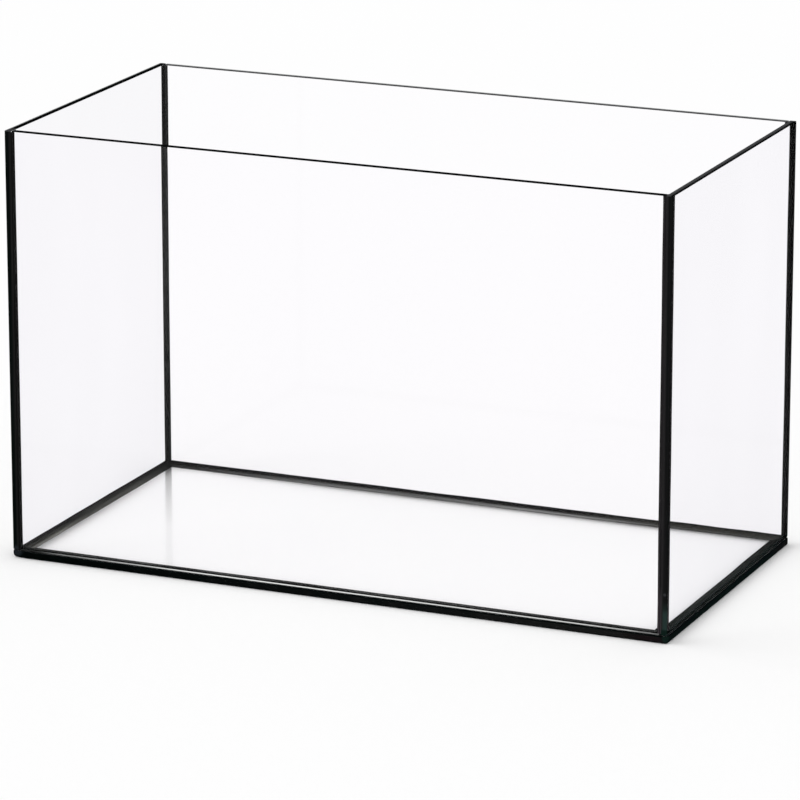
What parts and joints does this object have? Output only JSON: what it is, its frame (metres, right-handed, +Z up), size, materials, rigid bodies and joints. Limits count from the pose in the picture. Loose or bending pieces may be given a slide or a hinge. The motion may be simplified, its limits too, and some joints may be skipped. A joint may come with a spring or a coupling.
{
  "type": "glass aquarium",
  "caption": "Rimless open-topped rectangular aquarium of clear float glass panes, joined with black silicone and sealed inside with tooled beads.",
  "frame": {"origin": "centre of the underside of the base pane", "axes": "+X along the tank to its right end, +Y from the front pane to the back pane, +Z up"},
  "size_m": [0.8, 0.4, 0.5],
  "materials": {
    "clear_glass": "polished",
    "black_silicone": "satin"
  },
  "bodies": {
    "root": {"base_pane": "clear_glass", "front_pane": "clear_glass", "back_pane": "clear_glass", "left_pane": "clear_glass", "right_pane": "clear_glass", "base_bond_front": "black_silicone", "base_bond_back": "black_silicone", "base_bond_left": "black_silicone", "base_bond_right": "black_silicone", "corner_bond_front_left": "black_silicone", "corner_bond_front_right": "black_silicone", "corner_bond_back_left": "black_silicone", "corner_bond_back_right": "black_silicone", "floor_bead_front": "black_silicone", "floor_bead_back": "black_silicone", "floor_bead_left": "black_silicone", "floor_bead_right": "black_silicone", "corner_bead_front_left": "black_silicone", "corner_bead_front_right": "black_silicone", "corner_bead_back_left": "black_silicone", "corner_bead_back_right": "black_silicone"}
  },
  "joints": []
}
